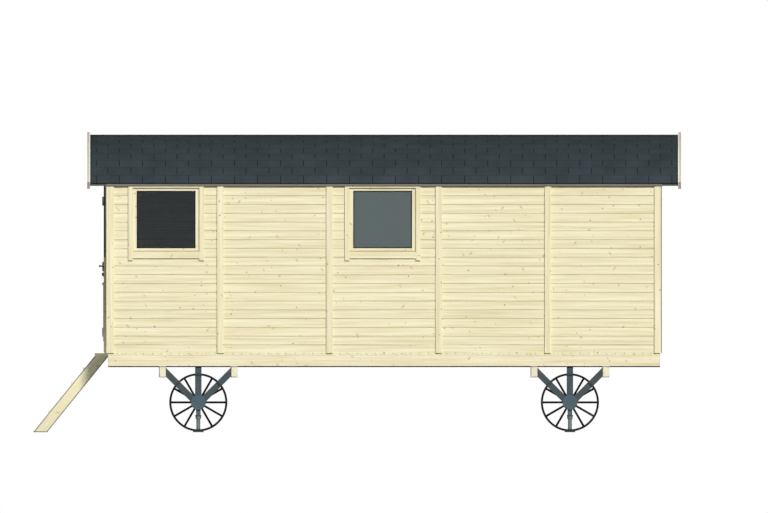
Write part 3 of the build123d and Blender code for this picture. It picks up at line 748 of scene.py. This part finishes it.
# The legs, wheels and jacks: square steel tube, flat bar and round bar, welded and painted.
# A satin grey paint with a slight green on legs and jack tubes, and dull zinc on the rams.
STEEL_PAINT = 0x364144
STEEL_EDGE = 0x2D363A
ZINC_LIGHT = 0x73817E
ZINC_DARK = 0x667370
JACK_TUBE_PAINT = 0x435550
FLANGE_PAINT = 0x27302D
FOOT_PAINT = 0x25292A
# Heights over the ground where a jack's paint changes: foot, bare ram, flange, tube
FOOT_TOP, FLANGE_LOW, FLANGE_HIGH, TUBE_HIGH = 0.0071, 0.1608, 0.1712, 0.5
# Sprayed paint has an orange peel with dimples 1.5 to 2 mm apart
PEEL_PER_METRE, WHEEL_PEEL_PER_METRE = 700.0, 500.0
PEEL_STRENGTH, PEEL_DEEP = 0.15, 0.0002
FOOT_BAR_WIDE, FOOT_BAR_LOW, FOOT_BAR_HIGH = 0.004, 0.0065, 0.0165
FOOT_BAR_IN, FOOT_BAR_EASED = 0.0005, 0.0008


def metal_coat(name, dark, light, metallic, roughness, spangle, levels=()):
    """A coat on steel whose tone wanders over patches of one size, with other paint by level."""
    material, tree = finish_named(name)
    place = add(tree, "TexCoord").outputs["Object"]
    patches = add(tree, "TexNoise", place, Scale=1 / spangle, Detail=3.0)
    tone = add(tree, "ValToRGB", patches)
    for point, position, tint in zip(tone.color_ramp.elements, (0.35, 0.65), (dark, light)):
        point.position, point.color = position, linear(tint)
    colour = tone.outputs[0]
    up = add(tree, "SeparateXYZ", place).outputs["Z"]
    for low, high, coat in levels:
        colour = add(tree, "Mix", between(tree, up, low, high), data_type="RGBA", _6=colour,
                     _7=linear(coat)).outputs[2]
    gloss = add(tree, "MapRange", patches, To_Min=roughness - 0.08, To_Max=roughness + 0.1)
    peel = add(tree, "TexNoise", place, Scale=PEEL_PER_METRE, Detail=1.0)
    raised = add(tree, "Bump", Strength=PEEL_STRENGTH, Distance=PEEL_DEEP, Height=peel)
    skin = add(tree, "BsdfPrincipled", Base_Color=colour, Metallic=metallic, Roughness=gloss,
               Normal=raised)
    add(tree, "OutputMaterial", Surface=skin)
    return material


steel_paint = metal_coat("grey_steel_paint", STEEL_EDGE, STEEL_PAINT, 0.0, 0.5, 0.12)
jack_coat = metal_coat("jack_coat", ZINC_DARK, ZINC_LIGHT, 0.05, 0.5, 0.02, levels=(
    (-1.0, FOOT_TOP, FOOT_PAINT), (FLANGE_LOW, FLANGE_HIGH, FLANGE_PAINT),
    (FLANGE_HIGH, TUBE_HIGH, JACK_TUBE_PAINT)))
foot_coat = metal_coat("foot_coat", FOOT_PAINT, FOOT_PAINT, 0.0, 0.5, 0.05)
corners = [f"{side}_{end}" for side in ("near", "far") for end in ("front", "rear")]
for corner in corners:
    paint(steel_paint, f"leg_{corner}")
    paint(jack_coat, f"jack_{corner}")
    # Two bars along each foot plate keep the hoop from rolling off it
    low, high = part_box(f"jack_{corner}")
    bars = [planed("foot_bar", (low.x + FOOT_BAR_IN, y, FOOT_BAR_LOW),
                   (high.x - FOOT_BAR_IN, y + FOOT_BAR_WIDE, FOOT_BAR_HIGH), foot_coat,
                   FOOT_BAR_EASED)
            for y in (low.y + HAIR, high.y - HAIR - FOOT_BAR_WIDE)]
    placed(joined(f"{corner}_foot_bars", bars), "wagon", "grey_steel")


# The wheels: flat bar bent to a hoop, ten round spokes and a drum, welded round the legs.
# The hoop and the spokes are painted near-black, the drum grey, and the hoop grey where it crosses a
# leg.
# The bars are a little stouter than the frame's, so that they show as dark as on the real one.
HOOP_RADIUS, HOOP_THICK, SPOKE_RADIUS, HUB_RADIUS = 0.291, 0.0218, 0.0108, 0.0755
SPOKE_TURNS = (0, 30, 60, 120, 150, 180, 210, 240, 300, 330)
SPOKE_IN_HUB = 0.02
WHEEL_EASED = 0.002
HUB_LIGHT, HUB_DARK, BAR_LIGHT, BAR_DARK = 0x4E6168, 0x45585E, 0x08090A, 0x050606
# The post stands straight up from the hub, and the braces rise from it at 45 degrees or so
POST_HALF, BRACE_TURN, BRACE_HALF = math.radians(6.6), math.radians(47.2), math.radians(7.0)
WEAR_PER_METRE = 14.0


def wheel_paint(name):
    """Paint on a wheel: a grey drum, near-black spokes and hoop, and grey where legs cross it."""
    material, tree = finish_named(name)
    place = add(tree, "TexCoord").outputs["Object"]
    axes = add(tree, "SeparateXYZ", place)
    out = add(tree, "Math SUBTRACT", axes.outputs["X"], BODY_MIDDLE)
    out = add(tree, "Math ABSOLUTE", out)
    across = add(tree, "Math SUBTRACT", out, wheel_out)
    rise = add(tree, "Math SUBTRACT", axes.outputs["Z"], wheel_rise)
    reach = add(tree, "Math ADD", *[add(tree, "Math POWER", way, 2.0) for way in (across, rise)])
    outside = add(tree, "Math GREATER_THAN", reach, (HUB_RADIUS + 0.0005) ** 2)
    on_hoop = add(tree, "Math GREATER_THAN", reach, (HOOP_RADIUS - HOOP_THICK - 0.001) ** 2)
    turn = add(tree, "Math ARCTAN2", across, rise)
    turn = add(tree, "Math ABSOLUTE", turn)
    on_leg = add(tree, "Math MAXIMUM", *[
        between(tree, turn, middle - half, middle + half)
        for middle, half in ((0.0, POST_HALF), (BRACE_TURN, BRACE_HALF))])
    # The hoop is painted grey where a leg crosses it
    hoop_over_leg = add(tree, "Math MULTIPLY", on_leg, on_hoop)
    black = add(tree, "Math SUBTRACT", outside, hoop_over_leg)
    wear = add(tree, "TexNoise", place, Scale=WEAR_PER_METRE, Detail=4.0, Roughness=0.65)
    drum, bars = [add(tree, "Mix", wear, data_type="RGBA", _6=linear(dark),
                      _7=linear(light)).outputs[2]
                  for dark, light in ((HUB_DARK, HUB_LIGHT), (BAR_DARK, BAR_LIGHT))]
    grey = add(tree, "Mix", outside, data_type="RGBA", _6=drum, _7=linear(STEEL_PAINT))
    coat = add(tree, "Mix", black, data_type="RGBA", _6=grey.outputs[2], _7=bars)
    gloss = add(tree, "MapRange", wear, To_Min=0.4, To_Max=0.62)
    peel = add(tree, "TexNoise", place, Scale=WHEEL_PEEL_PER_METRE, Detail=1.0)
    raised = add(tree, "Bump", Strength=PEEL_STRENGTH, Distance=PEEL_DEEP, Height=peel)
    skin = add(tree, "BsdfPrincipled", Base_Color=coat.outputs[2], Roughness=gloss,
               Specular_IOR_Level=0.15, Normal=raised)
    add(tree, "OutputMaterial", Surface=skin)
    return material


def turned_bar(name, radius, long, sides, centre, axis_turn):
    """A round bar or drum about its own middle, turned to lie along another axis."""
    let_go()
    bpy.ops.mesh.primitive_cylinder_add(vertices=sides, radius=radius, depth=long, location=centre,
                                        rotation=axis_turn)
    bar = bpy.context.object
    bar.name = name
    bpy.ops.object.transform_apply(location=True, rotation=True, scale=True)
    return bar


SIDEWAYS, LENGTHWAYS = (math.radians(90), 0, 0), (0, math.radians(90), 0)
wheel_low, wheel_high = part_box("wheel_near_rear")
wheel_out = (wheel_low.x + wheel_high.x) / 2 - BODY_MIDDLE
wheel_rise = (wheel_low.z + wheel_high.z) / 2
wheel_wide = wheel_high.y - wheel_low.y
hoop = turned_bar("hoop", HOOP_RADIUS, wheel_wide, 144, (0, 0, 0), SIDEWAYS)
core = turned_bar("core", HOOP_RADIUS - HOOP_THICK, 1.0, 144, (0, 0, 0), SIDEWAYS)
cut_by(hoop, core)
drum = turned_bar("drum", HUB_RADIUS, wheel_wide, 72, (0, 0, 0), SIDEWAYS)
for ring in (hoop, drum):
    ease(ring, WHEEL_EASED,
         lambda a, b: abs(a.y - b.y) < 1e-4 and abs(a.y) > wheel_wide / 2 - 1e-4)
spoke_long = HOOP_RADIUS - HOOP_THICK / 2 - HUB_RADIUS + SPOKE_IN_HUB
spoke = turned_bar("spoke", SPOKE_RADIUS, spoke_long, 20,
                   (HUB_RADIUS - SPOKE_IN_HUB + spoke_long / 2, 0, 0), LENGTHWAYS)
spokes = [copied(spoke, Matrix.Rotation(math.radians(turn), 4, "Y")) for turn in SPOKE_TURNS]
bpy.data.objects.remove(spoke)
wheel = joined("wheel", [hoop, drum] + spokes)
wheel.data.materials.append(wheel_paint("wheel_paint"))
let_go()
wheel.select_set(True)
bpy.ops.object.shade_smooth_by_angle(angle=math.radians(30))
for corner in corners:
    low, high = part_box(f"wheel_{corner}")
    steel_wheel = copied(wheel, Matrix.Translation(
        ((low.x + high.x) / 2, (low.y + high.y) / 2, wheel_rise)))
    steel_wheel.name = f"{corner}_hoop_wheel"
    placed(steel_wheel, "wagon", "grey_steel", f"wheel_{corner}")
bpy.data.objects.remove(wheel)


# The windows: a planed frame, a sealed double pane that looks dark from outside, and trim.
# The frame's stiles stand on a sill with a drip gap, and black bars hold the sheets apart.
GLASS_TINT = 0xAEB6B7
SPACER_BLACK = 0x0E100F
SPACER_WIDE, SPACER_IN, SPACER_EASED, SHEET_THICK = 0.013, 0.002, 0.0005, 0.003
SASH_SIDE, SASH_BOTTOM, SASH_TOP = 0.037, 0.032, 0.029
DRAIN_GAP, DRAIN_DEEP, SILL_EASED = 0.006, 0.014, 0.001
TRIM_WIDE, SILL_TRIM = 0.048, 0.070
EASED = 0.0025


def tinted_glass(name, tint):
    """Grey float glass in a sealed pair: clear and smooth, and dark from a bright place."""
    material, tree = finish_named(name)
    skin = add(tree, "BsdfPrincipled", Base_Color=linear(tint), Roughness=0.0, IOR=1.45,
               Transmission_Weight=0.97)
    add(tree, "OutputMaterial", Surface=skin)
    return material


def framed(low, high, along, side, bottom, top, upright, across, width):
    """Two uprights and two rails between them, round a box that runs along X or Y."""
    pieces = []
    for start, end in ((low[along], low[along] + side), (high[along] - side, high[along])):
        first, last = Vector(low), Vector(high)
        first[along], last[along] = start, end
        pieces.append(planed("upright", first, last, upright, width))
    for start, end in ((low[2], low[2] + bottom), (high[2] - top, high[2])):
        first, last = Vector(low), Vector(high)
        first[along], last[along] = first[along] + side, last[along] - side
        first.z, last.z = start, end
        pieces.append(planed("rail", first, last, across, width))
    return pieces


grey_glass = tinted_glass("grey_glass", GLASS_TINT)
paint(grey_glass, "near_window_glass", "far_window_glass", "door_glass")
spacer_black = metal_coat("spacer_black", SPACER_BLACK, SPACER_BLACK, 0.0, 0.7, 0.02)
for side, out in (("near", -1), ("far", 1)):
    sash_pieces, trim_pieces, spacer_pieces = [], [], []
    glass_low, glass_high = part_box(f"{side}_window_glass")
    trim_low, trim_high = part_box(f"{side}_window_trims")
    for low, high in window_places(side):
        sash_pieces += framed((low.x, low.y, low.z + DRAIN_GAP), high, 0, SASH_SIDE,
                              SASH_BOTTOM - DRAIN_GAP, SASH_TOP, spruce_upright,
                              spruce_lengthwise, EASED)
        outer, inner = (low.y, high.y) if out < 0 else (high.y, low.y)
        sill_y = sorted((outer - out * DRAIN_DEEP, inner))
        sash_pieces.append(planed("sill", (low.x, sill_y[0], low.z), (high.x, sill_y[1],
                                  low.z + DRAIN_GAP), spruce_lengthwise, SILL_EASED))
        # The spacer bars reach in behind the sash, and lie between the two sheets
        spacer_pieces += framed(
            (low.x + SASH_SIDE - SPACER_IN, glass_low.y + SHEET_THICK,
             low.z + SASH_BOTTOM - SPACER_IN),
            (high.x - SASH_SIDE + SPACER_IN, glass_high.y - SHEET_THICK,
             high.z - SASH_TOP + SPACER_IN),
            0, SPACER_WIDE, SPACER_WIDE, SPACER_WIDE, spacer_black, spacer_black, SPACER_EASED)
        # The trim is left 10 mm long at the top, and is sawn to the deck
        trim_top = trim_high.z + 0.01
        for start, end in ((low.x - TRIM_WIDE, low.x), (high.x, high.x + TRIM_WIDE)):
            trim_pieces.append(planed("side_trim", (start, trim_low.y, trim_low.z),
                                      (end, trim_high.y, trim_top), spruce_upright, EASED))
        for start, end in ((low.z - SILL_TRIM, low.z), (high.z, trim_top)):
            trim_pieces.append(planed("cross_trim", (low.x, trim_low.y, start),
                                      (high.x, trim_high.y, end), spruce_lengthwise, EASED))
    sash = joined(f"{side}_window_sashes", sash_pieces)
    for piece in trim_pieces:
        under_roof(piece)
    trims = joined(f"{side}_window_surrounds", trim_pieces)
    placed(joined(f"{side}_pane_spacers", spacer_pieces), "wagon", "black_iron")
    placed(sash, "wagon", "spruce", f"{side}_window_frames")
    placed(trims, "wagon", "spruce", f"{side}_window_trims")


# The door frame: jambs, head and sill of planed spruce, with a stop that the leaf closes on.
# The head and the sill run across, so their grain is turned where they lie.
SILL_DEEP, HEAD_DEEP = 0.005, 0.042
frame_low, frame_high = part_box("door_frame")
# The jambs take the same painted shade along the door's outer edge above the drip bar
spruce_jamb = spruce("spruce_jamb", "Z", "XY", course=0.3, arris=(black_edge,),
                     level=((frame_low.z - 0.1, frame_low.z + SILL_DEEP),
                            (frame_high.z - HEAD_DEEP, frame_high.z + 0.1)))
paint(spruce_jamb, "door_frame")


# The door leaf: stiles and rails tenoned together round a pane, over a panel of upright boards.
# Beads hold the pane, and a drip bar throws rain off the panel under it.
LEAF_THICK = 0.044
BAR_PROUD, BAR_DEEP, BAR_SHORT = 0.018, 0.030, 0.025
BEAD, BEAD_EASED = 0.014, 0.003
PANEL_LOW, PANEL_HIGH, PANEL_PROUD, PANEL_BACK = 0.907, 1.472, 0.006, 0.006
PANEL_BOARDS, PANEL_EASED = 7, 0.004
SPINDLE_HOLE, SPINDLE_IN = 0.0073, 0.01

leaf_low, leaf_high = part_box("door_leaf")
glass_low, glass_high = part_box("door_glass")
leaf_x = (leaf_high.x - LEAF_THICK, leaf_high.x)
leaf_pieces = []
for start, end in ((leaf_low.y, glass_low.y), (glass_high.y, leaf_high.y)):
    leaf_pieces.append(planed("stile", (leaf_x[0], start, leaf_low.z),
                              (leaf_x[1], end, leaf_high.z), spruce_upright, EASED))
for start, end in ((leaf_low.z, PANEL_LOW), (PANEL_HIGH, glass_low.z), (glass_high.z, leaf_high.z)):
    leaf_pieces.append(planed("rail", (leaf_x[0], glass_low.y, start),
                              (leaf_x[1], glass_high.y, end), spruce_crosswise, EASED))
board_wide = (glass_high.y - glass_low.y) / PANEL_BOARDS
for number in range(PANEL_BOARDS):
    left = glass_low.y + board_wide * number
    leaf_pieces.append(planed(
        "panel_board", (leaf_x[0] - PANEL_PROUD, left + HAIR, PANEL_LOW),
        (leaf_x[1] - PANEL_BACK, left + board_wide - HAIR, PANEL_HIGH), spruce_upright,
        PANEL_EASED))
drip_bar = timber("drip_bar", (leaf_x[0] - BAR_PROUD, leaf_low.y + BAR_SHORT, PANEL_HIGH),
                  (leaf_x[0] + 0.001, leaf_high.y - BAR_SHORT, PANEL_HIGH + BAR_DEEP))
# The bar's top slopes down to its nose
for vertex in drip_bar.data.vertices:
    if vertex.co.x < leaf_x[0] - 0.01 and vertex.co.z > PANEL_HIGH + 0.01:
        vertex.co.z -= BAR_DEEP / 2
ease(drip_bar, EASED, lambda a, b: True)
drip_bar.data.materials.append(spruce_crosswise)
leaf_pieces.append(drip_bar)
for face, back in ((leaf_x[0], glass_low.x), (leaf_x[1], glass_high.x)):
    x = sorted((face + (0.001 if face < back else -0.001), back))
    leaf_pieces += framed((x[0], glass_low.y, glass_low.z), (x[1], glass_high.y, glass_high.z), 1,
                          BEAD, BEAD, BEAD, spruce_upright, spruce_crosswise, BEAD_EASED)
# The lever's spindle goes through the first stile
lever_low, lever_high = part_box("door_lever")
spindle = (leaf_x[0] + LEAF_THICK / 2, lever_low.y + SPINDLE_IN, (lever_low.z + lever_high.z) / 2)
cut_by(leaf_pieces[0], turned_bar("bit", SPINDLE_HOLE, 0.2, 32, spindle, LENGTHWAYS))
placed(joined("door_boards", leaf_pieces), "door", "spruce", "door_leaf")


# Lock, lever and hinges: steel plate and bar in black paint, and hinges turned from zinced steel.
BLACK_PAINT = 0x1C1C1E
BLACK_EDGE = 0x121214
HINGE_LIGHT = 0xC9CCCB
HINGE_DARK = 0xB4B8B7
black_iron = metal_coat("black_iron_paint", BLACK_EDGE, BLACK_PAINT, 0.0, 0.42, 0.03)
paint(black_iron, "door_lock_plates", "door_lever")
zinc_coat = metal_coat("zinc_coat", HINGE_DARK, HINGE_LIGHT, 0.2, 0.45, 0.02)
paint(zinc_coat, "door_hinge_pins", "door_hinge_sleeves")


# The stair: two sloping stringers sawn from planed board, with treads housed between them.
# Foot and head are sawn level and plumb, and every edge is eased as on the rest of the wagon.
TREAD_RISE, TREAD_GOING = 0.1435, 0.116
STAIR_PITCH = math.atan2(TREAD_RISE, TREAD_GOING)
STRINGER_DEEP = 0.110
STRINGER_BEFORE, STRINGER_LONG = 0.3, 1.5
STAIR_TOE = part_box("stair_stringer_near")[0].x
STRINGER_LINE, TOE_LINE = 0.011, 0.009
# The stringer's upper and lower edge, measured square to its slope
stair_top = -STAIR_TOE * math.sin(STAIR_PITCH)
stair_foot = stair_top - STRINGER_DEEP
# Painted shade darkens the stringers' upper and lower edges and their foot
spruce_sloping = spruce("spruce_sloping", "X", "ZY", course=2.0, start=-1.0, lean=STAIR_PITCH,
                        tone=0.94, arris=(
                            (0.36, ("Z", stair_top - STRINGER_LINE, stair_top + OVER)),
                            (0.32, ("Z", stair_foot - OVER, stair_foot + STRINGER_LINE)),
                            (0.3, ("U", -OVER, TOE_LINE))))
for side in ("near", "far"):
    low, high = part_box(f"stair_stringer_{side}")
    stringer = timber(f"{side}_stringer", (-STRINGER_BEFORE, low.y, -STRINGER_DEEP),
                      (STRINGER_LONG, high.y, 0))
    stringer.data.transform(Matrix.Translation((low.x, 0, 0))
                            @ Matrix.Rotation(-STAIR_PITCH, 4, "Y"))
    cut_off(stringer, ((low, (0, 0, 1)), (high, (0, 0, -1)), (high, (-1, 0, 0))))
    ease(stringer, EASED, lambda a, b: True)
    stringer.data.materials.append(spruce_sloping)
    placed(stringer, "wagon", "spruce", f"stair_stringer_{side}")
spruce_tread = spruce("spruce_tread", "Y", "ZX", course=0.11)
paint(spruce_tread, "stair_treads")


# The studio: a white paper floor that runs out to a white room, two soft suns and a lamp.
# The key sun stands at the camera's right, and the fill lights the far side and the door's end.
FLOOR_REACH = 60.0
FLOOR_UNDER = 0.0005
FADE_START, FADE_END = 4.0, 12.0
PAPER_WHITE = 0xFFFFFF
PAPER_SHADE = 0x8A9299

let_go()
bpy.ops.mesh.primitive_circle_add(vertices=96, radius=FLOOR_REACH, fill_type="NGON",
                                  location=(BODY_MIDDLE, 0, -FLOOR_UNDER))
studio_floor = bpy.context.object
studio_floor.name = "studio_floor"
paper, tree = finish_named("studio_paper")
reach = add(tree, "VectorMath LENGTH", add(tree, "TexCoord").outputs["Object"])
fade = add(tree, "MapRange", reach.outputs["Value"], From_Min=FADE_START, From_Max=FADE_END)
seen = add(tree, "LightPath").outputs["Is Camera Ray"]
bounce = add(tree, "Mix", seen, data_type="RGBA", _6=linear(PAPER_SHADE), _7=linear(PAPER_WHITE))
sheet = add(tree, "BsdfDiffuse", Color=bounce.outputs[2])
far_off = add(tree, "Math MULTIPLY", fade, seen)
paper_skin = add(tree, "MixShader", far_off, sheet, add(tree, "Emission", Strength=1.0))
add(tree, "OutputMaterial", Surface=paper_skin)
studio_floor.data.materials.append(paper)


def lamp_added(kind, name, place, beam, **settings):
    """A lamp that stands in one place and shines along a beam."""
    let_go()
    bpy.ops.object.light_add(type=kind, location=place)
    lamp = bpy.context.object
    lamp.name = name
    lamp.rotation_euler = beam.to_track_quat("-Z", "Y").to_euler()
    for setting, value in settings.items():
        setattr(lamp.data, setting, value)


# Each sun's turn to the camera's right, its height over the floor, both in degrees, its
# strength, and the angle it fills in the sky
for name, turn, rise, energy, wide in (("key_light", 16, 26, 3.2, 8),
                                       ("fill_light", 215, 20, 1.6, 50)):
    turn, rise = math.radians(turn), math.radians(rise)
    beam = Vector((-math.sin(turn) * math.cos(rise), math.cos(turn) * math.cos(rise),
                   -math.sin(rise)))
    lamp_added("SUN", name, (0, -8, 6), beam, energy=energy, angle=math.radians(wide))

# A lamp low on the left lifts the shade that the wagon throws on the head of the stair
LAMP_BEFORE, LAMP_OUT, LAMP_HIGH, LAMP_WATTS = 1.3, 3.0, 0.35, 84.0
STAIR_HEAD_IN, STAIR_HEAD_HIGH = 0.58, 0.6
lamp_place = Vector((STAIR_TOE - LAMP_BEFORE, -LAMP_OUT, LAMP_HIGH))
stair_head = Vector((STAIR_TOE + STAIR_HEAD_IN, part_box("stair_stringer_near")[0].y,
                     STAIR_HEAD_HIGH))
lamp_added("SPOT", "stair_light", lamp_place, stair_head - lamp_place, energy=LAMP_WATTS,
           spot_size=math.radians(22), spot_blend=1.0, shadow_soft_size=0.3,
           color=(0.8, 0.9, 1.0))

# The room is white to the eye, blue-grey and dim as a light, and half dark through a pane.
# Light that has first met something indoors is dimmer than what the eye sees through a pane.
ROOM_BLUE, ROOM_STRENGTH = (0.78, 0.92, 1.2, 1.0), 0.2
PANE_GREEN, PANE_STRENGTH = (0.97, 1.0, 0.98, 1.0), 0.61
INDOOR_LOSS = 0.55
world = bpy.data.worlds.new("studio_room")
bpy.context.scene.world = world
world.use_nodes = True
tree = world.node_tree
tree.nodes.clear()
room, white, through = [add(tree, "Background", Color=colour, Strength=strength)
                        for colour, strength in ((ROOM_BLUE, ROOM_STRENGTH),
                                                 ((1.0, 1.0, 1.0, 1.0), 1.0),
                                                 (PANE_GREEN, PANE_STRENGTH))]
seen = add(tree, "LightPath")
indoors = add(tree, "Math MINIMUM", seen.outputs["Diffuse Depth"], 1.0)
indoors = add(tree, "Math MULTIPLY", indoors, INDOOR_LOSS)
clear = add(tree, "Math SUBTRACT", 1.0, indoors)
clear = add(tree, "Math MULTIPLY", seen.outputs["Is Transmission Ray"], clear)
panes = add(tree, "MixShader", clear, room, through)
both = add(tree, "MixShader", seen.outputs["Is Camera Ray"], panes, white)
add(tree, "OutputWorld", Surface=both)
bpy.context.scene.view_settings.view_transform = "Standard"
